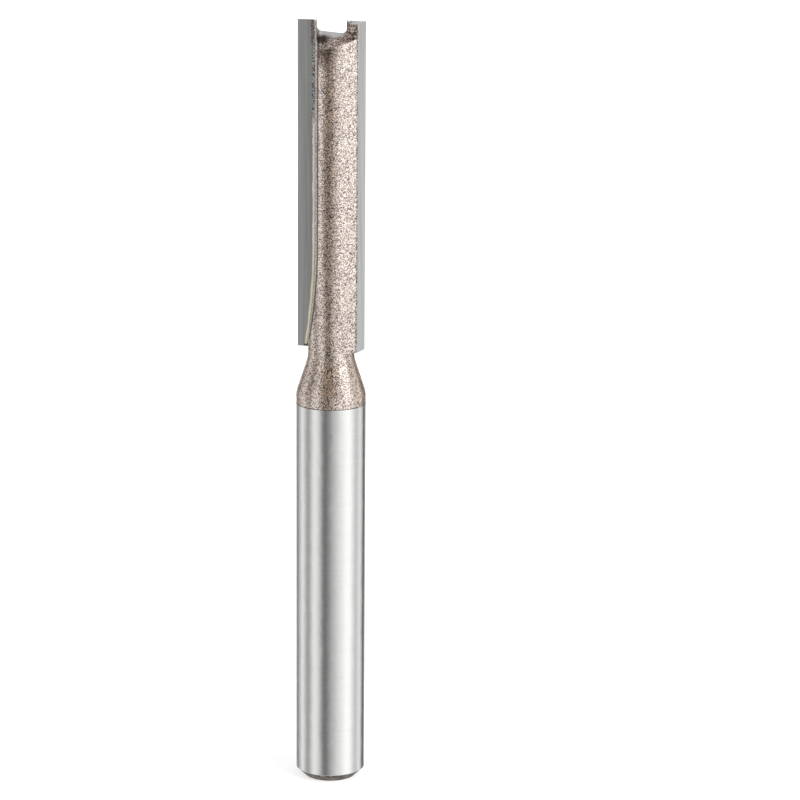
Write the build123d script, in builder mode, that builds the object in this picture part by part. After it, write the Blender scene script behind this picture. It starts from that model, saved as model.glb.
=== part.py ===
from build123d import *
import os
from math import acos, atan2, cos, radians, sin, sqrt, tan

# A two-flute straight router bit, in millimetres.
# The axis is Z, the shank end sits on Z = 0 and the tip points up.
# The cutting edges lie in the plane Y = 0, plate a at -X and plate b at +X.

# Shank
shank_dia = 6.35
shank_length = 36.6
shank_end_chamfer = 0.8

# Neck, turned down between the shank and the head
neck_dia = 4.2
neck_cone_half_angle = 18.4
neck_top_round = 2.5
neck_foot_round = 2.9
neck_land = 0.65

# Fluted head
head_dia = 4.75
head_blend_length = 9.5

# Carbide plates, one on each side
cutting_dia = 6.2
plate_length = 29.6
plate_width = 1.45
plate_thickness = 0.95
plate_foot_gap = 0.2
flank_relief = 28.0
end_relief = 12.0
plate_foot_slope = 11.0

# Braze round each plate, and how far the plate stands above the steel
braze_thickness = 0.08
plate_stand_out = 0.06

# Flutes
flute_wall_slant = 21.0
runout_radius = 60.0
runout_height = 9.6
runout_clear = 0.3

# Gashes ground across the tip, and the shelf ground behind each plate
gash_depth = 1.05
gash_half_width = 1.35
gash_turn = 13.0
gash_cross_slope = 15.5
gash_fall = 24.4
gash_corner_round = 0.42
shelf_drop = 1.2
shelf_fall = 27.6

# Room that each cutter takes outside the work
cutter_reach = 2.0

# Radii, depths and heights worked out from the sizes above
shank_r = shank_dia / 2
neck_r = neck_dia / 2
head_r = head_dia / 2
cutting_r = cutting_dia / 2
clear_r = cutting_r + cutter_reach
plate_inner = cutting_r - plate_width
flank_corner = cutting_r - plate_thickness * tan(radians(flank_relief))
seat_inner = plate_inner - braze_thickness
seat_depth = plate_thickness + braze_thickness
neck_z = shank_length + (shank_r - neck_r) / tan(radians(neck_cone_half_angle))
land_z = neck_z + neck_land
head_z = land_z + head_blend_length
plate_z = land_z + plate_foot_gap
tip_z = plate_z + plate_length
steel_top = tip_z - plate_stand_out
clear_z = tip_z + cutter_reach


def wing_outline(bar_r):
    """Half a wing: from the axis to where its flat leaves the bar, then to the plate's back corner."""
    corner_angle = atan2(-plate_thickness, flank_corner)
    corner_r = sqrt(flank_corner**2 + plate_thickness**2)
    leave_angle = corner_angle - acos(bar_r / corner_r)
    leave_point = (bar_r * cos(leave_angle), bar_r * sin(leave_angle))
    return [(0, 0), leave_point, (flank_corner, -plate_thickness), (seat_inner, -plate_thickness)]


def foot_plane(height):
    """Sloped plane that a plate on the -X side stands on, lower towards its back."""
    slope = radians(plate_foot_slope)
    return Plane(origin=(0, 0, height), x_dir=(1, 0, 0), z_dir=(0, sin(slope), cos(slope)))


# Carbide plate on the -X side: rake face in Y = 0, ground flank, relieved end
with BuildPart() as cutting_plate_a:
    with BuildSketch(Plane.XY.offset(land_z - cutter_reach)):
        with BuildLine():
            Polyline(
                (-cutting_r, 0),
                (-flank_corner, plate_thickness),
                (-plate_inner, plate_thickness),
                (-plate_inner, 0),
                close=True,
            )
        make_face()
    extrude(amount=clear_z - land_z)
    end_slope = radians(end_relief)
    end_face = Plane(origin=(0, 0, tip_z), x_dir=(1, 0, 0), z_dir=(0, sin(end_slope), cos(end_slope)))
    split(bisect_by=foot_plane(plate_z), keep=Keep.TOP)
    split(bisect_by=end_face, keep=Keep.BOTTOM)

with BuildPart() as cutting_plate_b:
    add(cutting_plate_a.part, rotation=(0, 0, 180))

# Seat that the plate on the -X side is brazed into
with BuildPart() as seat_cutter:
    with BuildSketch(Plane.XY.offset(land_z - cutter_reach)):
        with Locations((-clear_r, 0)):
            Rectangle(clear_r - seat_inner, seat_depth, align=Align.MIN)
    extrude(amount=clear_z - land_z + cutter_reach)
    split(bisect_by=foot_plane(plate_z - braze_thickness), keep=Keep.TOP)

# Flute in front of the plate on the -X side, with a large-disc run-out at its foot
with BuildPart() as flute_cutter:
    runout_z = plate_z + runout_height
    exit_x = neck_r + runout_clear
    exit_drop = sqrt(runout_radius**2 - (runout_radius - (exit_x - seat_inner)) ** 2)
    slant = radians(flute_wall_slant)
    with BuildSketch(Plane.XZ):
        with BuildLine():
            Line((-seat_inner, clear_z), (-seat_inner, runout_z))
            TangentArc((-seat_inner, runout_z), (-exit_x, runout_z - exit_drop), tangent=(0, -1))
            Polyline(
                (-exit_x, runout_z - exit_drop),
                (-clear_r, runout_z - exit_drop),
                (-clear_r, clear_z),
                (-seat_inner, clear_z),
            )
        make_face()
    extrude(amount=clear_r, dir=(sin(slant), -cos(slant), 0))

# Gash across the tip: its floor falls away towards -Y and climbs towards the wing at +X
with BuildPart() as gash_cutter:
    cross_rise = gash_half_width * tan(radians(gash_cross_slope))
    turn_angle = radians(gash_turn)
    fall = radians(gash_fall)
    with BuildSketch(Plane.XZ) as gash_section:
        with BuildLine():
            Polyline(
                (-gash_half_width, tip_z - gash_depth - cross_rise),
                (gash_half_width, tip_z - gash_depth + cross_rise),
                (gash_half_width, clear_z),
                (-gash_half_width, clear_z),
                close=True,
            )
        make_face()
        fillet(gash_section.vertices().sort_by(Axis.Y)[:2], gash_corner_round)
    gash_way = (sin(turn_angle) * cos(fall), -cos(turn_angle) * cos(fall), -sin(fall))
    extrude(amount=clear_r, dir=gash_way, both=True)

# End relief over the seat, then the shelf that leaves the top of the plate's back bare
with BuildPart() as shelf_cutter:
    seat_edge_z = steel_top - seat_depth * tan(radians(end_relief))
    shelf_z = seat_edge_z - shelf_drop
    shelf_run_drop = (clear_r - seat_depth) * tan(radians(shelf_fall))
    with BuildSketch(Plane.YZ):
        with BuildLine():
            Polyline(
                (0, steel_top),
                (seat_depth, seat_edge_z),
                (seat_depth, shelf_z),
                (clear_r, shelf_z - shelf_run_drop),
                (clear_r, clear_z),
                (0, clear_z),
                close=True,
            )
        make_face()
    extrude(amount=clear_r, both=True)

# Steel bar before its seats are milled: shank, coned neck, round head and the two wings
with BuildPart() as milled_bar:
    with BuildSketch(Plane.XZ) as bar_section:
        with BuildLine():
            Polyline((0, 0), (shank_r, 0), (shank_r, shank_length), (neck_r, neck_z), (neck_r, land_z))
            Spline((neck_r, land_z), (head_r, head_z), tangents=((0, 1), (0, 1)))
            Polyline((head_r, head_z), (head_r, steel_top), (0, steel_top), (0, 0))
        make_face()
        outer_corners = bar_section.vertices().filter_by(lambda v: v.X > 0).sort_by(Axis.Y)
        fillet(outer_corners[1], neck_top_round)
        outer_corners = bar_section.vertices().filter_by(lambda v: v.X > 0).sort_by(Axis.Y)
        fillet(outer_corners[3], neck_foot_round)
    revolve(axis=Axis.Z)
    chamfer(milled_bar.edges().filter_by(GeomType.CIRCLE).sort_by(Axis.Z)[0], shank_end_chamfer)
    for turn in (0, 180):
        with BuildSketch(Plane.XY.offset(land_z).rotated((0, 0, turn))):
            with BuildLine():
                Polyline(*wing_outline(neck_r), close=True)
            make_face()
        with BuildSketch(Plane.XY.offset(head_z).rotated((0, 0, turn))):
            with BuildLine():
                Polyline(*wing_outline(head_r), close=True)
            make_face()
        loft()
        with BuildSketch(Plane.XY.offset(head_z).rotated((0, 0, turn))):
            with BuildLine():
                Polyline(*wing_outline(head_r), close=True)
            make_face()
        extrude(amount=steel_top - head_z)
    with PolarLocations(0, 2):
        add(flute_cutter.part, mode=Mode.SUBTRACT)
        add(gash_cutter.part, mode=Mode.SUBTRACT)
        add(shelf_cutter.part, mode=Mode.SUBTRACT)

# Finished steel body
with BuildPart() as bit_body:
    add(milled_bar.part)
    with PolarLocations(0, 2):
        add(seat_cutter.part, mode=Mode.SUBTRACT)

# Braze that fills what the plate leaves of its seat
with BuildPart() as braze_seam_a:
    add(milled_bar.part)
    add(seat_cutter.part, mode=Mode.INTERSECT)
    add(cutting_plate_a.part, mode=Mode.SUBTRACT)

with BuildPart() as braze_seam_b:
    add(braze_seam_a.part, rotation=(0, 0, 180))

bit_body.part.label = "bit_body"
cutting_plate_a.part.label = "cutting_plate_a"
cutting_plate_b.part.label = "cutting_plate_b"
braze_seam_a.part.label = "braze_seam_a"
braze_seam_b.part.label = "braze_seam_b"

os.makedirs("parts", exist_ok=True)
export_step(bit_body.part, "parts/bit_body.step")
export_step(cutting_plate_a.part, "parts/cutting_plate_a.step")
export_step(cutting_plate_b.part, "parts/cutting_plate_b.step")
export_step(braze_seam_a.part, "parts/braze_seam_a.step")
export_step(braze_seam_b.part, "parts/braze_seam_b.step")
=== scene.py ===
from math import acos, atan2, cos, degrees, pi, radians, sin, sqrt, tan

import bmesh
import bpy
from bpy.props import FloatProperty, FloatVectorProperty, IntProperty, PointerProperty
from mathutils import Matrix, Vector, noise


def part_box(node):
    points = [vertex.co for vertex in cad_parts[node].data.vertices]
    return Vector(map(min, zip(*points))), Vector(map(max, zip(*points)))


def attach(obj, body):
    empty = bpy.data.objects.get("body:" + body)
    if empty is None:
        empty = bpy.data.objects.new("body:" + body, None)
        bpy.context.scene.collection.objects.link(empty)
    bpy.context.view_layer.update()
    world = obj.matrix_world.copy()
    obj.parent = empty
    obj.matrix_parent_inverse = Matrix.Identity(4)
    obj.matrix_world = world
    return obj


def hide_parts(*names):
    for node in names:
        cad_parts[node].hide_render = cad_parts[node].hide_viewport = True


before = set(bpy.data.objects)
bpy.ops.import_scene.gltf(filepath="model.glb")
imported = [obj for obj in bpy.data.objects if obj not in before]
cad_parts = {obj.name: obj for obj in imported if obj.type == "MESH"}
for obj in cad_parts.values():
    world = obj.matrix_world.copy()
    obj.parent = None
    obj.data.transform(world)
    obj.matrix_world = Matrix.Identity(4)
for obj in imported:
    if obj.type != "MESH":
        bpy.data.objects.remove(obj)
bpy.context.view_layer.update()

bl_info = {
    "name": "Straight Router Bit",
    "version": (1, 0, 0),
    "blender": (4, 5, 0),
    "location": "View3D > Sidebar > Router Bit",
    "description": "Dresses the modelled router bit with ground steel, metallic paint, carbide and braze",
    "category": "Object",
}

MM = 0.001
PLATE_A = "cutting_plate_a"
PLATE_B = "cutting_plate_b"
plate_low, plate_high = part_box(PLATE_A)
seam_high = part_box("braze_seam_a")[1]
steel_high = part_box("bit_body")[1]


def linear(code):
    """A colour's sRGB hex code as linear red, green and blue."""
    parts = [int(code[place:place + 2], 16) / 255 for place in (1, 3, 5)]
    return [part / 12.92 if part <= 0.04045 else ((part + 0.055) / 1.055) ** 2.4 for part in parts]


# Sizes of the steel body that aren't properties, in millimetres and degrees
NECK_TOP_ROUND = 2.5
NECK_FOOT_ROUND = 2.9
NECK_LAND = 0.65
HEAD_BLEND = 9.5
FLANK_RELIEF = 28.0
END_RELIEF = 12.0
PLATE_FOOT_SLOPE = 11.0
BRAZE_THICKNESS = 0.08
WALL_SLANT = 21.0
RUNOUT_RADIUS = 60.0
RUNOUT_HEIGHT = 9.6
RUNOUT_CLEAR = 0.3
GASH_HALF_WIDTH = 1.35
GASH_CORNER = 0.42
GASH_TURN = 13.0
GASH_CROSS_SLOPE = 15.5
GASH_FALL = 24.4
SHELF_DROP = 1.2
SHELF_FALL = 27.6
CUTTER_REACH = 2.0
MERGE_DISTANCE = 0.0005

# What counts as ground at the tip, and the angle at which two faces meet in a sharp edge
GROUND_LENGTH = 4
FACING_UP = 0.3
SHARP_ANGLE = radians(24)

# Places near the tip that the finish makes darker, for the side that faces the camera: a spot on the paint
# just below the gash, and painted shade in the gash's deepest corner
DARKER_PAINT_SPOT = (-0.6 * MM, -1.8 * MM, 68.0 * MM)
GASH_SHADE_SPOT = (-0.78 * MM, -0.85 * MM, 68.65 * MM)

# Heights between which a finish gives way to the next, and how ragged the change is
SKIN_TO_BARE = (0.72 * MM, 0.8 * MM, 0.12 * MM)
BRAZE_PAINTED = (46 * MM, 52 * MM, 3 * MM)
BRAZE_BURNT = (61 * MM, 62 * MM, 2 * MM)
PLATE_STAINED = (67.9 * MM, 68.3 * MM, 0.8 * MM)
SEAM_BROWN = (68.4 * MM, 68.9 * MM, 0.3 * MM)
TINT_TO_BARE = (68.75 * MM, 69.0 * MM, 0.25 * MM)


class BitSizes(bpy.types.PropertyGroup):
    """Sizes of the bit that its CAD nodes' boxes don't give."""

    neck_radius: FloatProperty(
        name="Neck radius", description="Radius of the turned-down neck", default=2.1 * MM, unit="LENGTH")
    head_radius: FloatProperty(
        name="Head radius", description="Radius of the round head between the flutes",
        default=2.375 * MM, unit="LENGTH")
    shank_length: FloatProperty(
        name="Shank length", description="Height at which the neck cone starts",
        default=36.6 * MM, unit="LENGTH")
    cone_angle: FloatProperty(
        name="Cone half angle", description="Half angle of the neck cone",
        default=radians(18.4), subtype="ANGLE")
    shank_chamfer: FloatProperty(
        name="Shank chamfer", description="Chamfer at the shank's end", default=0.8 * MM, unit="LENGTH")
    paint_height: FloatProperty(
        name="Paint height", description="Height at which the paint ends on the shank",
        default=35.55 * MM, unit="LENGTH")
    gash_depth: FloatProperty(
        name="Gash depth", description="Depth of the tip gash at the axis",
        default=1.05 * MM, unit="LENGTH")
    steps: IntProperty(
        name="Steps", description="Steps of the turned surfaces round the axis", default=180, min=24)


class BitColours(bpy.types.PropertyGroup):
    """Colours of the finishes."""

    steel: FloatVectorProperty(
        name="Steel", description="Ground tool steel", subtype="COLOR", size=3, default=linear("#EDEDEC"))
    paint: FloatVectorProperty(
        name="Paint", description="Metallic bronze paint", subtype="COLOR", size=3,
        default=linear("#F1E4DC"))
    lacquer: FloatVectorProperty(
        name="Lacquer", description="Brown lacquer between the paint's flakes",
        subtype="COLOR", size=3, default=linear("#D6AA7C"))
    carbide: FloatVectorProperty(
        name="Carbide", description="Ground tungsten carbide", subtype="COLOR", size=3,
        default=linear("#CFCFCE"))
    braze: FloatVectorProperty(
        name="Braze", description="Silver-brass braze", subtype="COLOR", size=3, default=linear("#F4EDCC"))
    scale: FloatVectorProperty(
        name="Scale", description="Dark skin left by hardening", subtype="COLOR", size=3,
        default=linear("#5E544C"))
    stain: FloatVectorProperty(
        name="Stain", description="Brown stain of heat and burnt flux", subtype="COLOR", size=3,
        default=linear("#8A7066"))


def feed(tree, target, links):
    """Gives each named input of a node a value or a link."""
    for name, value in links.items():
        if isinstance(value, bpy.types.NodeSocket):
            tree.links.new(value, target.inputs[name])
        else:
            target.inputs[name].default_value = value


def node(tree, kind, links=None, **settings):
    """Adds a node, sets its settings and feeds its inputs."""
    new = tree.nodes.new(kind)
    for name, value in settings.items():
        setattr(new, name, value)
    feed(tree, new, links or {})
    return new


def empty_material(name):
    """A material with no nodes, and its tree."""
    material = bpy.data.materials.new(name)
    material.use_nodes = True
    material.node_tree.nodes.clear()
    return material, material.node_tree


def new_material(name):
    """A new material, its tree, its shader and its Object coordinates."""
    material, tree = empty_material(name)
    shader = node(tree, "ShaderNodeBsdfPrincipled")
    node(tree, "ShaderNodeOutputMaterial", {"Surface": shader.outputs["BSDF"]})
    return material, tree, shader, object_place(tree)


def object_place(tree):
    """Object coordinates of the surface."""
    return node(tree, "ShaderNodeTexCoord").outputs["Object"]


def axis(tree, place, name):
    """One coordinate of a place."""
    return node(tree, "ShaderNodeSeparateXYZ", {"Vector": place}).outputs[name]


def calculate(tree, operation, *values):
    """Result of a calculation with numbers or sockets."""
    return node(tree, "ShaderNodeMath", dict(enumerate(values)), operation=operation).outputs["Value"]


def vector(tree, operation, *values, result="Vector"):
    """Result of a calculation with vectors."""
    return node(tree, "ShaderNodeVectorMath", dict(enumerate(values)), operation=operation).outputs[result]


def map_range(tree, value, low, high, start=0.0, end=1.0):
    """Goes from start to end while the value goes from low to high."""
    mapped = node(tree, "ShaderNodeMapRange", {
        "Value": value, "From Min": low, "From Max": high, "To Min": start, "To Max": end})
    return mapped.outputs["Result"]


def mix(tree, share, first, second, way="MIX"):
    """Colour a share of the way from the first to the second, or multiplied by the second."""
    return node(tree, "ShaderNodeMixRGB", {"Fac": share, "Color1": first, "Color2": second},
                blend_type=way).outputs["Color"]


def lumps(tree, place, size, detail=3.0):
    """Noise with lumps of about one size."""
    texture = node(tree, "ShaderNodeTexNoise", {"Vector": place, "Scale": 1 / size, "Detail": detail})
    return texture.outputs["Fac"]


def marks_along(tree, place, sizes, detail):
    """Noise stretched into marks with a size along each axis."""
    stretched = node(tree, "ShaderNodeMapping", {"Vector": place, "Scale": [1 / size for size in sizes]})
    return lumps(tree, stretched.outputs["Vector"], 1.0, detail)


def cells(tree, place, size):
    """Small cells of about one size, each with a colour picked at random."""
    return node(tree, "ShaderNodeTexVoronoi", {"Vector": place, "Scale": 1 / size}).outputs["Color"]


def pick(tree, colour):
    """The random number that a cell's colour carries."""
    return node(tree, "ShaderNodeSeparateColor", {"Color": colour}).outputs["Green"]


def bump(tree, height, strength, distance, links=None):
    """Normal of a surface with a relief."""
    return node(tree, "ShaderNodeBump", {
        "Height": height, "Strength": strength, "Distance": distance, **(links or {})}).outputs["Normal"]


def colour_ramp(tree, share, stops, interpolation="LINEAR"):
    """Colour that goes through stops of position and colour."""
    ramp = node(tree, "ShaderNodeValToRGB", {"Fac": share})
    ramp.color_ramp.interpolation = interpolation
    elements = ramp.color_ramp.elements
    for number, (position, colour) in enumerate(stops):
        stop = elements[0] if number == 0 else elements.new(position)
        stop.position = position
        stop.color = colour
    elements.remove(elements[-1])
    return ramp.outputs["Color"]


def rgba(colour, share=1.0):
    """A colour made darker or brighter by a share, with full alpha."""
    return (colour[0] * share, colour[1] * share, colour[2] * share, 1.0)


def blend(first, second, share):
    """Colour a share of the way from the first to the second."""
    return [one + (other - one) * share for one, other in zip(first, second)]


def height_share(tree, place, low, high, ragged):
    """Share that climbs from 0 to 1 between two heights, its edge made ragged by noise."""
    lump_size = 0.35 * MM
    height = axis(tree, place, "Z")
    shifted = calculate(tree, "MULTIPLY_ADD", lumps(tree, place, lump_size), ragged, height)
    return map_range(tree, shifted, low + ragged / 2, high + ragged / 2)


def spot(tree, place, centre, inner, outer):
    """Share of 1 round a centre and its half-turn copy, fading out between two radii."""
    lump_size = 0.25 * MM
    ragged = 0.7 * MM
    side = calculate(tree, "SIGN", axis(tree, place, "Y"))
    turned = node(tree, "ShaderNodeCombineXYZ", {
        "X": calculate(tree, "MULTIPLY", axis(tree, place, "X"), side),
        "Y": calculate(tree, "MULTIPLY", axis(tree, place, "Y"), side),
        "Z": axis(tree, place, "Z")}).outputs["Vector"]
    target = (-centre[0], -centre[1], centre[2])
    away = vector(tree, "DISTANCE", turned, target, result="Value")
    shifted = calculate(tree, "MULTIPLY_ADD", lumps(tree, place, lump_size), ragged, away)
    return map_range(tree, shifted, inner + ragged / 2, outer + ragged / 2, 1.0, 0.0)


def add_flakes(tree, place, colour):
    """Colour of metallic paint flakes, for a surface that is only partly painted."""
    flake_size = 0.085 * MM
    return mix(tree, pick(tree, cells(tree, place, flake_size)), rgba(colour, 0.1), rgba(colour, 1.4))


def burnt_specks(tree, place, colours):
    """Colour of braze that the flux burnt black, with pale bare specks between."""
    speck_size = 0.14 * MM
    bare = map_range(tree, lumps(tree, place, speck_size), 0.42, 0.6)
    return mix(tree, bare, rgba(colours.stain, 0.15), rgba(colours.carbide, 0.9))


def ground_steel(colours):
    """Ground tool steel: bright, satin and slightly wavy, with fine marks of the wheel round the shank."""
    material, tree, shader, place = new_material("ground_tool_steel")
    mark_height = 0.12 * MM
    mark_length = 4.0 * MM
    wave_size = 2.5 * MM
    marks = marks_along(tree, place, (mark_length, mark_length, mark_height), 3.0)
    wavy = bump(tree, lumps(tree, place, wave_size), 1.0, 0.045 * MM)
    feed(tree, shader, {
        "Base Color": mix(tree, marks, rgba(colours.steel, 0.92), rgba(colours.steel, 1.03)),
        "Metallic": 1.0,
        "Roughness": map_range(tree, marks, 0.3, 0.7, 0.14, 0.2),
        "Normal": bump(tree, marks, 0.1, 0.005 * MM, {"Normal": wavy}),
    })
    return material


def bronze_paint(colours, paint_foot):
    """Metallic bronze paint: pale flakes of metal, each tilted its own way, in brown lacquer."""
    material, tree, shader, place = new_material("metallic_bronze_paint")
    flake_size = 0.07 * MM
    tilt_share = 0.14
    lacquer_share = 0.155
    flakes = cells(tree, place, flake_size)
    flake = pick(tree, flakes)
    tilt = vector(tree, "MULTIPLY", vector(tree, "SUBTRACT", flakes, (0.5, 0.5, 0.5)), (tilt_share,) * 3)
    surface = node(tree, "ShaderNodeNewGeometry").outputs["Normal"]
    tilted = vector(tree, "NORMALIZE", vector(tree, "ADD", surface, tilt))

    shares = ((0.0, 0.22), (0.32, 0.42), (0.52, 0.83), (1.0, 0.94))
    stops = [(position, rgba(colours.paint, share)) for position, share in shares]
    shade = colour_ramp(tree, flake, stops)
    # The paint is made darker round a spot just below the gash, on the camera's side and its half-turn
    # copy
    darker_spot = spot(tree, place, DARKER_PAINT_SPOT, 0.6 * MM, 2.2 * MM)
    burnt = mix(tree, darker_spot, shade, rgba(colours.paint, 0.3), "MULTIPLY")
    brim = map_range(tree, axis(tree, place, "Z"), paint_foot, paint_foot + 0.14 * MM, 0.25, 1.0)
    base = mix(tree, 1.0, burnt, brim, "MULTIPLY")
    feed(tree, shader, {"Base Color": base, "Metallic": 1.0, "Roughness": 0.17, "Normal": tilted})

    clear = map_range(tree, flake, 0.3, 0.7)
    depth = mix(tree, clear, (0, 0, 0, 1), rgba(colours.lacquer, 1.8))
    brown = node(tree, "ShaderNodeBsdfDiffuse", {"Color": mix(tree, 1.0, base, depth, "MULTIPLY")})
    coat = node(tree, "ShaderNodeMixShader", {
        "Fac": lacquer_share, 1: shader.outputs["BSDF"], 2: brown.outputs["BSDF"]})
    finish = next(one for one in tree.nodes if one.type == "OUTPUT_MATERIAL")
    feed(tree, finish, {"Surface": coat.outputs["Shader"]})
    return material


def ground_carbide(colours):
    """Ground tungsten carbide: a dense grey metal with marks along the plate, with a painted highlight
    that makes it paler towards the cutting edge.
    """
    material, tree, shader, place = new_material("ground_tungsten_carbide")
    mark_width = 0.22 * MM
    mark_length = 9.0 * MM
    grime_size = 0.12 * MM
    marks = marks_along(tree, place, (mark_width, mark_width, mark_length), 4.0)
    # Painted highlight: the colour gets paler from the plate's inner edge out to the cutting edge
    out = calculate(tree, "ABSOLUTE", axis(tree, place, "X"))
    margin = map_range(tree, out, 1.65 * MM, 3.1 * MM, 0.25, 0.75)
    pale = map_range(tree, calculate(tree, "MULTIPLY_ADD", marks, 1.1, margin), 0.6, 1.5)
    shade = mix(tree, pale, rgba(colours.carbide, 0.72), rgba(colours.carbide, 1.15))

    # Stain of the braze along the plate's inner margin, near the tip
    near_tip = height_share(tree, place, *PLATE_STAINED)
    ragged = calculate(tree, "MULTIPLY_ADD", lumps(tree, place, grime_size), 0.3 * MM, out)
    inner = map_range(tree, ragged, 2.0 * MM, 2.1 * MM, 1.0, 0.0)
    stained = calculate(tree, "MULTIPLY", near_tip, inner)
    grime = add_flakes(tree, place, blend(colours.carbide, colours.stain, 0.6))
    feed(tree, shader, {
        "Base Color": mix(tree, stained, shade, grime),
        "Metallic": 1.0,
        "Roughness": map_range(tree, marks, 0.0, 1.0, 0.3, 0.4),
    })
    return material


def fused_braze(colours):
    """Silver-brass braze: pale yellow where clean, painted over further up, burnt at the top and near
    black at the foot.
    """
    material, tree, shader, place = new_material("silver_brass_braze")
    lump_size = 0.25 * MM
    foot = plate_low[2]
    relief = lumps(tree, place, lump_size, 2.0)
    clean = mix(tree, relief, rgba(colours.braze, 0.75), rgba(colours.braze))
    painted = height_share(tree, place, *BRAZE_PAINTED)
    covered = mix(tree, painted, clean, rgba(colours.paint))
    burnt_top = height_share(tree, place, *BRAZE_BURNT)
    speckled = mix(tree, burnt_top, covered, burnt_specks(tree, place, colours))
    # Near black below a ragged height just above the plate's foot
    above_foot = height_share(tree, place, foot + 0.35 * MM, foot + 0.6 * MM, 0.2 * MM)
    feed(tree, shader, {
        "Base Color": mix(tree, above_foot, rgba(colours.stain, 0.15), speckled),
        "Metallic": 0.7,
        "Roughness": 0.4,
        "Normal": bump(tree, relief, 0.4, 0.02 * MM),
    })
    return material


def braze_stain_and_shade(colours):
    """Braze under burnt flux: brown speckles at the tip, and black ones with bare specks further down;
    also laid on the bead's dark strips as painted shade.
    """
    material, tree, shader, place = new_material("flux_stain_and_painted_shade")
    speck_size = 0.14 * MM
    specks = lumps(tree, place, speck_size)
    brown = colour_ramp(tree, specks, (
        (0.38, rgba(colours.stain, 0.2)),
        (0.5, rgba(colours.stain, 0.8)),
        (0.66, rgba(colours.paint, 0.9)),
    ))
    at_tip = height_share(tree, place, *SEAM_BROWN)
    feed(tree, shader, {
        "Base Color": mix(tree, at_tip, burnt_specks(tree, place, colours), brown),
        "Metallic": 0.6,
        "Roughness": 0.42,
        "Normal": bump(tree, specks, 0.6, 0.03 * MM),
    })
    return material


def tinted_steel(colours):
    """Steel ground at the tip: bare and grey by the ridge, brown and speckled further down, with painted
    shade in the gash's deepest corner.
    """
    material, tree, shader, place = new_material("heat_tinted_steel")
    speck_size = 0.11 * MM
    specks = map_range(tree, pick(tree, cells(tree, place, speck_size)), 0.35, 0.65)
    brown = mix(tree, specks, rgba(colours.stain, 0.12), rgba(blend(colours.paint, colours.stain, 0.6)))
    bare = height_share(tree, place, *TINT_TO_BARE)
    shade = mix(tree, bare, brown, rgba(colours.steel, 0.6))
    # Painted shade: near-black round the gash's deepest corner and its half-turn copy
    gash_shade = spot(tree, place, GASH_SHADE_SPOT, 0.4 * MM, 1.0 * MM)
    feed(tree, shader, {
        "Base Color": mix(tree, gash_shade, shade, rgba(colours.stain, 0.1)),
        "Metallic": 0.9,
        "Roughness": 0.35,
        "Normal": bump(tree, specks, 0.3, 0.02 * MM),
    })
    return material


def wall_overspray(colours):
    """Thin overspray of the paint on a flute wall: matt and pale, with painted shade towards the wall's
    outer edge.
    """
    material, tree, shader, place = new_material("paint_overspray")
    foot = plate_low[2]
    edge_shade_softness = 0.3 * MM
    # Painted shade: past a depth that grows with height, the wall turns to dark stain-coloured flakes
    limit = map_range(tree, axis(tree, place, "Z"), foot + 1.5 * MM, foot + 8 * MM, 0.7 * MM, 1.4 * MM)
    past_limit = calculate(tree, "SUBTRACT", calculate(tree, "ABSOLUTE", axis(tree, place, "Y")), limit)
    edge_shade = map_range(tree, past_limit, 0.0, edge_shade_softness)
    stretched = node(tree, "ShaderNodeMapping", {"Vector": place, "Scale": (1, 0.25, 1)}).outputs["Vector"]
    spray = add_flakes(tree, stretched, rgba(colours.paint, 0.7))
    feed(tree, shader, {
        "Base Color": mix(tree, edge_shade, spray, add_flakes(tree, place, rgba(colours.stain, 0.35))),
        "Metallic": 0.15,
        "Roughness": 0.55,
    })
    return material


def hardening_scale(colours):
    """Dark skin of hardened steel low on the shank's chamfer, brown in patches, bare steel above."""
    material, tree, shader, place = new_material("hardening_scale")
    patch_size = 0.45 * MM
    patches = map_range(tree, lumps(tree, place, patch_size, 5.0), 0.35, 0.65)
    skin = mix(tree, patches, rgba(colours.scale, 0.35), rgba(colours.scale, 1.9))
    ground = height_share(tree, place, *SKIN_TO_BARE)
    feed(tree, shader, {
        "Base Color": mix(tree, ground, skin, rgba(colours.steel, 0.85)),
        "Metallic": 0.8,
        "Roughness": 0.45,
    })
    return material


def revolve_profile(bm, points, steps):
    """Closed round solid about Z from a profile of radius and height, its ends on the axis."""
    verts = [bm.verts.new((radius, 0, height)) for radius, height in points]
    edges = [bm.edges.new(pair) for pair in zip(verts, verts[1:])]
    bmesh.ops.spin(bm, geom=verts + edges, cent=(0, 0, 0), axis=(0, 0, 1), angle=2 * pi, steps=steps,
                   use_merge=True)
    bmesh.ops.remove_doubles(bm, verts=bm.verts, dist=MERGE_DISTANCE)


def loft(outlines):
    """Closed solid through outlines that have the same number of points."""
    bm = bmesh.new()
    rings = []
    for outline in outlines:
        verts = [bm.verts.new(point) for point in outline]
        rings.append([bm.edges.new((verts[place - 1], verts[place])) for place in range(len(verts))])
    for below, above in zip(rings, rings[1:]):
        bmesh.ops.bridge_loops(bm, edges=below + above)
    bmesh.ops.holes_fill(bm, edges=rings[0] + rings[-1], sides=0)
    return bm


def prism(outline, push):
    """Closed solid from a flat outline pushed along a vector."""
    bm = bmesh.new()
    face = bm.faces.new([bm.verts.new(point) for point in outline])
    pushed = bmesh.ops.extrude_face_region(bm, geom=[face])["geom"]
    far_verts = [item for item in pushed if isinstance(item, bmesh.types.BMVert)]
    bmesh.ops.translate(bm, vec=push, verts=far_verts)
    return bm


def arc(centre, radius, start, end, count):
    """Points of a circle from one angle to another, in degrees, both ends included."""
    angles = [radians(start + (end - start) * place / count) for place in range(count + 1)]
    return [(centre[0] + radius * cos(angle), centre[1] + radius * sin(angle)) for angle in angles]


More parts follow.
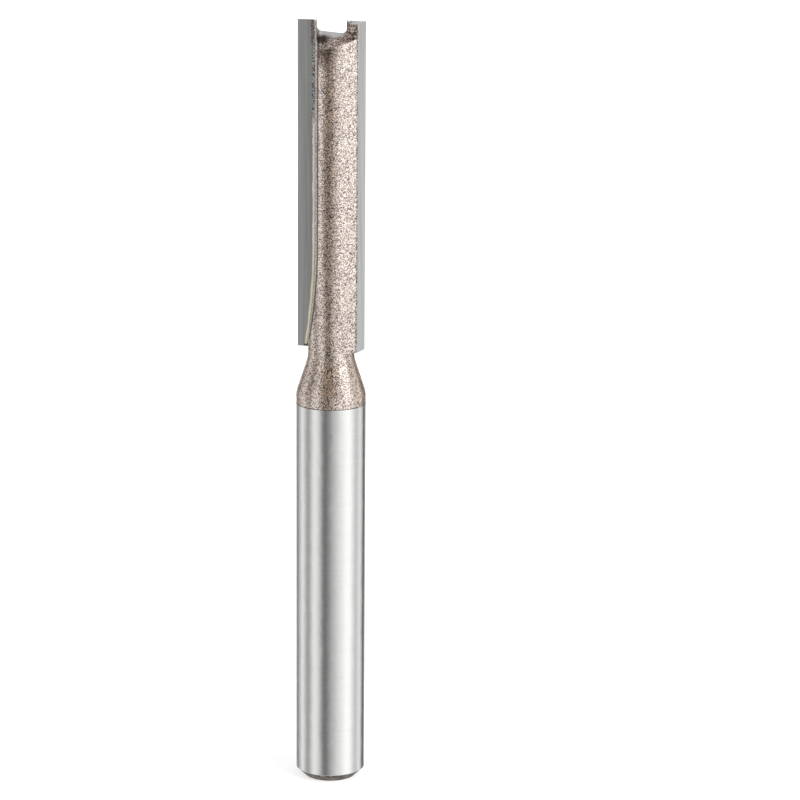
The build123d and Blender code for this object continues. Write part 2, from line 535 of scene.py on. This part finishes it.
def make_object(name, bm):
    """Object that holds a bmesh, with its faces turned outwards."""
    bmesh.ops.recalc_face_normals(bm, faces=bm.faces)
    mesh = bpy.data.meshes.new(name)
    bm.to_mesh(mesh)
    bm.free()
    made = bpy.data.objects.new(name, mesh)
    bpy.context.collection.objects.link(made)
    return made


def both_sides(name, build):
    """Two objects, the second turned half round the axis."""
    made = []
    for side, turn in (("a", 0.0), ("b", pi)):
        bm = build()
        bmesh.ops.rotate(bm, verts=bm.verts, matrix=Matrix.Rotation(turn, 3, "Z"))
        made.append(make_object(f"{name}_{side}", bm))
    return made


def combine(body, tools, operation):
    """Applies each tool to the body as a boolean and removes the tools."""
    for tool in tools:
        step = body.modifiers.new(tool.name, "BOOLEAN")
        step.operation = operation
        step.solver = "MANIFOLD"
        step.object = tool
    bpy.context.view_layer.update()
    result = body.evaluated_get(bpy.context.evaluated_depsgraph_get())
    mesh = bpy.data.meshes.new_from_object(result)
    body.modifiers.clear()
    body.data = mesh
    for tool in tools:
        bpy.data.objects.remove(tool)


class BodyShape:
    """Sizes of the steel body in millimetres, from the CAD boxes and the add-on's properties."""

    def __init__(self, sizes):
        self.shank_r = steel_high[0] / MM
        self.steel_top = steel_high[2] / MM
        self.tip = plate_high[2] / MM
        self.neck_r = sizes.neck_radius / MM
        self.head_r = sizes.head_radius / MM
        self.shank_length = sizes.shank_length / MM
        self.cone = sizes.cone_angle
        self.chamfer = sizes.shank_chamfer / MM
        self.paint_z = sizes.paint_height / MM
        self.gash_depth = sizes.gash_depth / MM
        self.seat_inner = -seam_high[0] / MM
        self.seat_depth = seam_high[1] / MM
        self.thickness = plate_high[1] / MM
        self.cutting_r = -plate_low[0] / MM
        self.plate_z = plate_low[2] / MM + self.thickness * tan(radians(PLATE_FOOT_SLOPE))
        self.neck_z = self.shank_length + (self.shank_r - self.neck_r) / tan(self.cone)
        self.land_z = self.neck_z + NECK_LAND
        self.head_z = self.land_z + HEAD_BLEND
        self.clear_r = self.cutting_r + CUTTER_REACH
        self.clear_z = self.tip + CUTTER_REACH
        self.flank_corner = self.cutting_r - self.thickness * tan(radians(FLANK_RELIEF))

    def bar_radius(self, height):
        """Radius of the head where the neck blends into it."""
        share = min(max((height - self.land_z) / (self.head_z - self.land_z), 0.0), 1.0)
        return self.neck_r + (self.head_r - self.neck_r) * share * share * (3 - 2 * share)

    def blend_heights(self, steps):
        """Even heights over the length where the neck blends into the head."""
        return [self.land_z + (self.head_z - self.land_z) * step / steps for step in range(steps + 1)]

    def turned_points(self):
        """Profile of the bar from the centre of its foot to the centre of its top."""
        tangent = tan(self.cone / 2)
        slope = degrees(self.cone)
        bend_steps = 10
        top_bend = (self.shank_r - NECK_TOP_ROUND, self.shank_length - NECK_TOP_ROUND * tangent)
        foot_bend = (self.neck_r + NECK_FOOT_ROUND, self.neck_z + NECK_FOOT_ROUND * tangent)
        points = [(0, 0), (self.shank_r - self.chamfer, 0), (self.shank_r, self.chamfer)]
        points += [(self.shank_r, self.paint_z)]
        points += arc(top_bend, NECK_TOP_ROUND, 0, slope, bend_steps)
        points += arc(foot_bend, NECK_FOOT_ROUND, 180 + slope, 180, bend_steps)
        blend_steps = 24
        points += [(self.bar_radius(height), height) for height in self.blend_heights(blend_steps)]
        points += [(self.head_r, self.steel_top), (0, self.steel_top)]
        return points

    def wing(self):
        """Flat-sided wing that carries the plate's back corner on the +X side."""
        corner_angle = atan2(-self.thickness, self.flank_corner)
        corner_r = sqrt(self.flank_corner**2 + self.thickness**2)
        near_axis = (0.3, -0.2)
        overlap = 0.3
        inner_share = 0.8
        blend_steps = 12
        outlines = []
        for height in self.blend_heights(blend_steps) + [self.steel_top]:
            bar_r = self.bar_radius(height)
            inner_r = inner_share * bar_r
            leave = corner_angle - acos(bar_r / corner_r)
            outline = [near_axis, (inner_r * cos(leave), inner_r * sin(leave)),
                       (bar_r * cos(leave), bar_r * sin(leave)),
                       (self.flank_corner, -self.thickness), (self.seat_inner, -self.thickness + overlap)]
            outlines.append([(x, y, height) for x, y in outline])
        return loft(outlines)

    def flute(self):
        """Disc-milled flute in front of the plate on the -X side."""
        start_z = self.plate_z + RUNOUT_HEIGHT
        across = self.neck_r + RUNOUT_CLEAR - self.seat_inner
        drop = sqrt(RUNOUT_RADIUS**2 - (RUNOUT_RADIUS - across) ** 2)
        turn = degrees(acos(1 - across / RUNOUT_RADIUS))
        sweep_steps = 24
        outline = [(-self.seat_inner, self.clear_z)]
        outline += arc((-self.seat_inner - RUNOUT_RADIUS, start_z), RUNOUT_RADIUS, 0, -turn, sweep_steps)
        outline += [(-self.clear_r, start_z - drop), (-self.clear_r, self.clear_z)]
        slant = radians(WALL_SLANT)
        push = Vector((sin(slant), -cos(slant), 0)) * self.clear_r
        overlap = 0.02
        return prism([(x, overlap, z) for x, z in outline], push)

    def wall_foot(self, height):
        """Where the flute wall meets the rake plane, on the -X side."""
        below = max(self.plate_z + RUNOUT_HEIGHT - height, 0.0)
        return -self.seat_inner - (RUNOUT_RADIUS - sqrt(RUNOUT_RADIUS**2 - below**2))

    def on_wall(self, point, normal):
        """Whether a face lies on the straight part of a flute wall."""
        nearly_square = 0.97
        start_z = self.plate_z + 1
        side = -1 if point.x > 0 else 1
        slant = radians(WALL_SLANT)
        facing = -(normal.x * cos(slant) + normal.y * sin(slant)) * side
        return facing > nearly_square and point.y * side < 0 and point.z > start_z

    def on_bead(self, point):
        """Whether a point of a bead lies on the rounded braze, rather than on its dark strips: painted
        shade along the wall, and burnt flux with painted shade by the plate.
        """
        side = 1 if point.y < 0.01 and point.x < 0 else -1
        x, y = point.x * side, point.y * side
        margin_y, crest_y, behind_foot = -0.012, -0.26, 0.075
        return crest_y < y < margin_y and x < self.wall_foot(point.z) + behind_foot

    def bead(self):
        """Uneven bead of braze along the foot of the flute wall on the -X side."""
        slant = radians(WALL_SLANT)
        low = self.plate_z + 0.05
        high = self.tip - 1.6
        width = 0.17
        # Widths of the dark strips: along the wall a strip of painted shade, by the plate a strip of burnt
        # flux darkened as painted shade, which grows from margin_start over margin_run
        wall_shade_strip = 0.14
        plate_flux_and_shade_strip = 0.07
        margin_start, margin_run = 52, 8
        steps = 260
        outlines = []
        for step in range(steps + 1):
            height = low + (high - low) * step / steps
            foot = self.wall_foot(height)
            long_waves = noise.noise(Vector((0, 3.1, height * 0.9)))
            short_waves = noise.noise(Vector((5, 0, height * 3.7)))
            swell = 1 + 0.35 * long_waves + 0.2 * short_waves
            end_fade = min(1.0, 0.35 + (high - height) * 0.5)
            reach = width * swell * end_fade
            margin = plate_flux_and_shade_strip * min(max((height - margin_start) / margin_run, 0.0), 1.0) + 0.005
            climb = 1.3 * reach
            crest = climb + wall_shade_strip
            outline = [
                (foot - reach - margin, 0.02),
                (foot - reach - margin, -0.004),
                (foot - reach, -0.006),
                (foot - 0.8 * reach, -0.25 * reach),
                (foot - 0.4 * reach, -0.6 * reach),
                (foot + 0.1 * reach, -0.95 * reach),
                (foot - 0.01 + climb * sin(slant), -climb * cos(slant)),
                (foot - 0.008 + crest * sin(slant), -crest * cos(slant)),
                (foot + 0.05 + crest * sin(slant), -crest * cos(slant)),
                (foot + 0.1, 0.02),
            ]
            outlines.append([(x, y, height) for x, y in outline])
        return loft(outlines)

    def gash(self):
        """Slot across the tip: its floor falls towards -Y and rounds up into the wing at +X."""
        half, corner = GASH_HALF_WIDTH, GASH_CORNER
        cross, fall, turn = radians(GASH_CROSS_SLOPE), radians(GASH_FALL), radians(GASH_TURN)
        floor = self.tip - self.gash_depth
        rise = (half - corner) * tan(cross)
        lift = corner / cos(cross)
        bend_steps = 8
        floor_turn = -90 + GASH_CROSS_SLOPE
        outline = arc((-half + corner, floor - rise + lift), corner, -180, floor_turn, bend_steps)
        outline += arc((half - corner, floor + rise + lift), corner, floor_turn, 0, bend_steps)
        open_z = self.clear_z + 3
        outline += [(half, open_z), (-half, open_z)]
        way = Vector((sin(turn) * cos(fall), -cos(turn) * cos(fall), -sin(fall))) * self.clear_r
        return prism([Vector((x, 0, z)) - way for x, z in outline], 2 * way)

    def shelf(self):
        """Shelf ground behind the plate on the +Y side, which leaves the top of its back bare."""
        edge_z = self.steel_top - self.seat_depth * tan(radians(END_RELIEF)) - SHELF_DROP
        drop = (self.clear_r - self.seat_depth) * tan(radians(SHELF_FALL))
        overlap = 0.01
        start = self.seat_depth - overlap
        outline = [(start, edge_z), (self.clear_r, edge_z - drop), (self.clear_r, self.clear_z),
                   (start, self.clear_z)]
        points = [(-self.clear_r, y, z) for y, z in outline]
        return prism(points, Vector((2 * self.clear_r, 0, 0)))

    def seat(self):
        """Seat milled for the plate on the -X side, with a sloped foot."""
        foot = self.plate_z - BRAZE_THICKNESS
        back_foot = foot - self.seat_depth * tan(radians(PLATE_FOOT_SLOPE))
        outline = [(0, foot), (self.seat_depth, back_foot), (self.seat_depth, self.clear_z),
                   (0, self.clear_z)]
        points = [(-self.clear_r, y, z) for y, z in outline]
        return prism(points, Vector((self.clear_r - self.seat_inner, 0, 0)))


def body_finish(face, shape):
    """Index of the material that a face of the steel body takes."""
    middle = face.calc_center_median()
    steel, paint, skin, tint, overspray = range(5)  # In the order in which finish_body adds them
    if middle.z > shape.tip - GROUND_LENGTH and face.normal.z > FACING_UP:
        return tint
    if shape.on_wall(middle, face.normal):
        return overspray
    if middle.z > shape.paint_z:
        return paint
    return skin if middle.z < shape.chamfer else steel


def finish_body(body, shape, sizes, colours):
    """Gives each face of the steel body its finish and scales the mesh to metres."""
    body.data.materials.clear()
    finishes = (ground_steel(colours), bronze_paint(colours, sizes.paint_height), hardening_scale(colours),
                tinted_steel(colours), wall_overspray(colours))
    for material in finishes:
        body.data.materials.append(material)
    bm = bmesh.new()
    bm.from_mesh(body.data)
    bmesh.ops.remove_doubles(bm, verts=bm.verts, dist=MERGE_DISTANCE)
    for face in bm.faces:
        face.material_index = body_finish(face, shape)
        face.smooth = True
    bmesh.ops.scale(bm, vec=(MM, MM, MM), verts=bm.verts)
    bm.to_mesh(body.data)
    bm.free()
    body.data.set_sharp_from_angle(angle=SHARP_ANGLE)


def dress(name, material):
    """Gives a CAD node its finish."""
    piece = bpy.data.objects[name]
    piece.data.materials.clear()
    piece.data.materials.append(material)


class BIT_OT_body(bpy.types.Operator):
    """Turns, mills and paints the steel body"""

    bl_idname = "router_bit.body"
    bl_label = "Steel Body"

    def execute(self, context):
        sizes = context.scene.bit_sizes
        shape = BodyShape(sizes)
        bm = bmesh.new()
        revolve_profile(bm, shape.turned_points(), sizes.steps)
        body = make_object("steel_body", bm)
        combine(body, both_sides("wing", shape.wing), "UNION")
        cutters = both_sides("flute", shape.flute) + both_sides("gash", shape.gash)
        cutters += both_sides("shelf", shape.shelf) + both_sides("seat", shape.seat)
        combine(body, cutters, "DIFFERENCE")
        finish_body(body, shape, sizes, context.scene.bit_colours)
        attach(body, "root")
        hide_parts("bit_body")
        return {"FINISHED"}


class BIT_OT_plates(bpy.types.Operator):
    """Gives the two cutting plates their ground carbide"""

    bl_idname = "router_bit.plates"
    bl_label = "Cutting Plates"

    def execute(self, context):
        carbide = ground_carbide(context.scene.bit_colours)
        for name in (PLATE_A, PLATE_B):
            dress(name, carbide)
        return {"FINISHED"}


class BIT_OT_braze(bpy.types.Operator):
    """Stains the braze seams and lays the bead along the foot of each flute wall"""

    bl_idname = "router_bit.braze"
    bl_label = "Braze"

    def execute(self, context):
        colours = context.scene.bit_colours
        stained = braze_stain_and_shade(colours)
        for name in ("braze_seam_a", "braze_seam_b"):
            dress(name, stained)
        shape = BodyShape(context.scene.bit_sizes)
        clean = fused_braze(colours)
        for bead in both_sides("braze_bead", shape.bead):
            bead.data.materials.append(clean)
            # The second slot goes on the bead's dark strips: painted shade, with burnt flux by the plate
            bead.data.materials.append(stained)
            for face in bead.data.polygons:
                face.use_smooth = True
                face.material_index = 0 if shape.on_bead(face.center) else 1
            bead.data.transform(Matrix.Scale(MM, 4))
            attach(bead, "root")
        return {"FINISHED"}


CAMERA_TURN = radians(13.0)
CAMERA_RISE = radians(14.0)
CAMERA_DISTANCE = 290.3 * MM
CAMERA_LENS = 144.0
CAMERA_SENSOR = 36.0
CAMERA_ROLL = radians(0.44)
AIM_HEIGHT = 35.79 * MM
AIM_ASIDE = 6.26 * MM

TENT_RADIUS = 350 * MM
TENT_HALF_HEIGHT = 420 * MM
TENT_STEPS = 96
TENT_FADE_HEIGHT = 90 * MM
TENT_FADED_SHARE = 0.8

# Levels of the light tent, by degrees to the right of the camera
TENT_LEVELS = (
    (-180, 0.85), (-160, 0.80), (-146, 0.25), (-133, 0.42), (-119, 0.68), (-107, 0.91), (-92, 0.58),
    (-78, 0.40), (-62, 0.82), (-54, 0.93), (-40, 0.74), (-30, 0.37), (-20, 0.18), (-10, 0.26), (0, 0.43),
    (20, 0.73), (40, 1.0), (60, 1.22), (74, 1.03), (88, 0.70), (97, 0.68), (108, 0.87), (119, 0.80),
    (130, 0.37), (142, 0.15), (180, 0.10),
)

# Distance in millimetres from the point that the camera's height aims at to each card
CARD_DISTANCE = 320

# Cards: name, degrees right of the camera, degrees above the level, half width and level of light
CARDS = (
    ("bright_card", 62, 21, 105 * MM, 1.5),
    ("dark_card", 2, 25, 45 * MM, 0.15),
    ("low_dark_card", -2, -5.2, 36 * MM, 0.15),
    ("low_bright_card", 37, -5.2, 36 * MM, 1.25),
)

# Soft boxes: name, degrees right of the camera, degrees above the level and power in watts
SOFT_BOX_DISTANCE = 0.5
SOFT_BOX_SIZE = 0.3
SOFT_BOXES = (
    ("right_soft_box", 56, 35, 3.0),
    ("left_soft_box", -60, 40, 1.5),
)

FLOOR_HALF_WIDTH = 1.5
FLOOR_COLOUR = (0.42, 0.42, 0.42, 1)
FLOOR_SHADE = 0.62
SHADE_START = 4 * MM
SHADE_END = 90 * MM
WORLD_SHARE = 0.55


def way_from_bit(turn, rise):
    """Direction from the bit, by angles to the right of the camera and above the level."""
    angle = CAMERA_TURN + turn
    return Vector((sin(angle) * cos(rise), -cos(angle) * cos(rise), sin(rise)))


def add_glow(tree, links):
    """Makes light the surface of a material."""
    glow = node(tree, "ShaderNodeEmission", links)
    node(tree, "ShaderNodeOutputMaterial", {"Surface": glow.outputs["Emission"]})


def show_in_reflections_only(piece):
    """Hides a piece of the stage from every ray but a mirrored one."""
    piece.visible_camera = False
    piece.visible_diffuse = False
    piece.visible_shadow = False
    piece.visible_transmission = False


def tent_cloth():
    """Glowing cloth whose brightness goes by the direction it is seen in from the bit."""
    material, tree = empty_material("tent_cloth")
    facing = node(tree, "ShaderNodeMapping", {
        "Vector": object_place(tree), "Rotation": (0, 0, pi / 2 - CAMERA_TURN)}).outputs["Vector"]
    turn = calculate(tree, "ARCTAN2", axis(tree, facing, "Y"), axis(tree, facing, "X"))
    full = max(level for _, level in TENT_LEVELS)
    stops = [(angle / 360 + 0.5, rgba((1, 1, 1), level / full)) for angle, level in TENT_LEVELS]
    shade = colour_ramp(tree, map_range(tree, turn, -pi, pi), stops, "CARDINAL")
    height = axis(tree, facing, "Z")
    faded = TENT_FADED_SHARE * full
    strength = map_range(tree, height, AIM_HEIGHT, AIM_HEIGHT + TENT_FADE_HEIGHT, full, faded)
    add_glow(tree, {"Color": shade, "Strength": strength})
    return material


def add_tent():
    """Round light tent about the bit, seen only in its reflections."""
    bm = bmesh.new()
    low = bm.verts.new((TENT_RADIUS, 0, AIM_HEIGHT - TENT_HALF_HEIGHT))
    high = bm.verts.new((TENT_RADIUS, 0, AIM_HEIGHT + TENT_HALF_HEIGHT))
    edge = bm.edges.new((low, high))
    bmesh.ops.spin(bm, geom=[low, high, edge], cent=(0, 0, 0), axis=(0, 0, 1), angle=2 * pi,
                   steps=TENT_STEPS, use_merge=True)
    tent = make_object("light_tent", bm)
    tent.data.materials.append(tent_cloth())
    show_in_reflections_only(tent)


def add_card(name, way, size, level):
    """Square glowing card that faces the bit, seen only in its reflections."""
    bm = bmesh.new()
    bmesh.ops.create_grid(bm, x_segments=1, y_segments=1, size=size)
    bmesh.ops.rotate(bm, verts=bm.verts, matrix=way.to_track_quat("Z", "Y").to_matrix())
    bmesh.ops.translate(bm, verts=bm.verts, vec=way * CARD_DISTANCE * MM + Vector((0, 0, AIM_HEIGHT)))
    card = make_object(name, bm)
    material, tree = empty_material(name)
    add_glow(tree, {"Strength": level})
    card.data.materials.append(material)
    show_in_reflections_only(card)


def add_soft_box(name, way, power):
    """Square soft light aimed at the bit, which the bit doesn't mirror."""
    light = bpy.data.lights.new(name, "AREA")
    light.size = SOFT_BOX_SIZE
    light.energy = power
    lamp = bpy.data.objects.new(name, light)
    lamp.location = Vector((0, 0, AIM_HEIGHT)) + way * SOFT_BOX_DISTANCE
    lamp.rotation_euler = way.to_track_quat("Z", "Y").to_euler()
    lamp.visible_glossy = False
    bpy.context.collection.objects.link(lamp)


def seen_or_mirrored(tree):
    """1 for a ray from the camera, or one mirrored or let through by the bit, and 0 for other rays."""
    path = node(tree, "ShaderNodeLightPath").outputs
    mirrored = calculate(tree, "MAXIMUM", path["Is Glossy Ray"], path["Is Transmission Ray"])
    return calculate(tree, "MAXIMUM", path["Is Camera Ray"], mirrored)


def add_floor():
    """Floor that is white to the camera, darker at the bit's foot, and not mirrored by the bit."""
    bm = bmesh.new()
    bmesh.ops.create_grid(bm, x_segments=1, y_segments=1, size=FLOOR_HALF_WIDTH)
    floor = make_object("floor", bm)
    material, tree = empty_material("pale_floor")
    reach = vector(tree, "LENGTH", object_place(tree), result="Value")
    white = map_range(tree, reach, SHADE_START, SHADE_END, FLOOR_SHADE)
    matt = node(tree, "ShaderNodeBsdfDiffuse", {"Color": FLOOR_COLOUR})
    glow = node(tree, "ShaderNodeEmission", {
        "Strength": calculate(tree, "MULTIPLY", seen_or_mirrored(tree), white)})
    both = node(tree, "ShaderNodeAddShader", {0: matt.outputs["BSDF"], 1: glow.outputs["Emission"]})
    node(tree, "ShaderNodeOutputMaterial", {"Surface": both.outputs["Shader"]})
    floor.data.materials.append(material)
    floor.visible_glossy = False


def light_world(scene):
    """World that is white where it is seen or mirrored, and softer for the light it sheds."""
    world = bpy.data.worlds.new("studio")
    scene.world = world
    world.use_nodes = True
    tree = world.node_tree
    tree.nodes.clear()
    strength = map_range(tree, seen_or_mirrored(tree), 0.0, 1.0, WORLD_SHARE)
    back = node(tree, "ShaderNodeBackground", {"Color": (1, 1, 1, 1), "Strength": strength})
    node(tree, "ShaderNodeOutputWorld", {"Surface": back.outputs["Background"]})


def add_camera(scene):
    """Camera at the photo's angle, aimed a little aside so that the bit stands left of the middle."""
    right = Vector((cos(CAMERA_TURN), sin(CAMERA_TURN), 0))
    target = Vector((0, 0, AIM_HEIGHT))
    place = target + way_from_bit(0, CAMERA_RISE) * CAMERA_DISTANCE
    look = (target + right * AIM_ASIDE - place).normalized()
    turn = look.to_track_quat("-Z", "Y").to_matrix() @ Matrix.Rotation(CAMERA_ROLL, 3, "Z")
    lens = bpy.data.cameras.new("camera")
    lens.lens = CAMERA_LENS
    lens.sensor_width = CAMERA_SENSOR
    camera = bpy.data.objects.new("camera", lens)
    camera.matrix_world = Matrix.Translation(place) @ turn.to_4x4()
    bpy.context.collection.objects.link(camera)
    scene.camera = camera


class BIT_OT_stage(bpy.types.Operator):
    """Sets the floor, the light tent, the cards, the soft boxes, the world and the camera"""

    bl_idname = "router_bit.stage"
    bl_label = "Stage"

    def execute(self, context):
        scene = context.scene
        scene.view_settings.view_transform = "Standard"
        add_floor()
        add_tent()
        for name, turn, rise, size, level in CARDS:
            add_card(name, way_from_bit(radians(turn), radians(rise)), size, level)
        for name, turn, rise, power in SOFT_BOXES:
            add_soft_box(name, way_from_bit(radians(turn), radians(rise)), power)
        light_world(scene)
        add_camera(scene)
        return {"FINISHED"}


class BIT_PT_panel(bpy.types.Panel):
    """Lists the bit's operators, sizes and colours"""

    bl_label = "Router Bit"
    bl_space_type = "VIEW_3D"
    bl_region_type = "UI"
    bl_category = "Router Bit"

    def draw(self, context):
        for operator in OPERATORS:
            self.layout.operator(operator.bl_idname)
        for group in (context.scene.bit_sizes, context.scene.bit_colours):
            for name in group.__annotations__:
                self.layout.prop(group, name)


OPERATORS = (BIT_OT_body, BIT_OT_plates, BIT_OT_braze, BIT_OT_stage)
CLASSES = (BitSizes, BitColours) + OPERATORS + (BIT_PT_panel,)


def register():
    for cls in CLASSES:
        bpy.utils.register_class(cls)
    bpy.types.Scene.bit_sizes = PointerProperty(type=BitSizes)
    bpy.types.Scene.bit_colours = PointerProperty(type=BitColours)


def unregister():
    del bpy.types.Scene.bit_colours
    del bpy.types.Scene.bit_sizes
    for cls in reversed(CLASSES):
        bpy.utils.unregister_class(cls)


def main():
    register()
    bpy.ops.router_bit.body()
    bpy.ops.router_bit.plates()
    bpy.ops.router_bit.braze()
    bpy.ops.router_bit.stage()


if __name__ == "__main__":
    main()
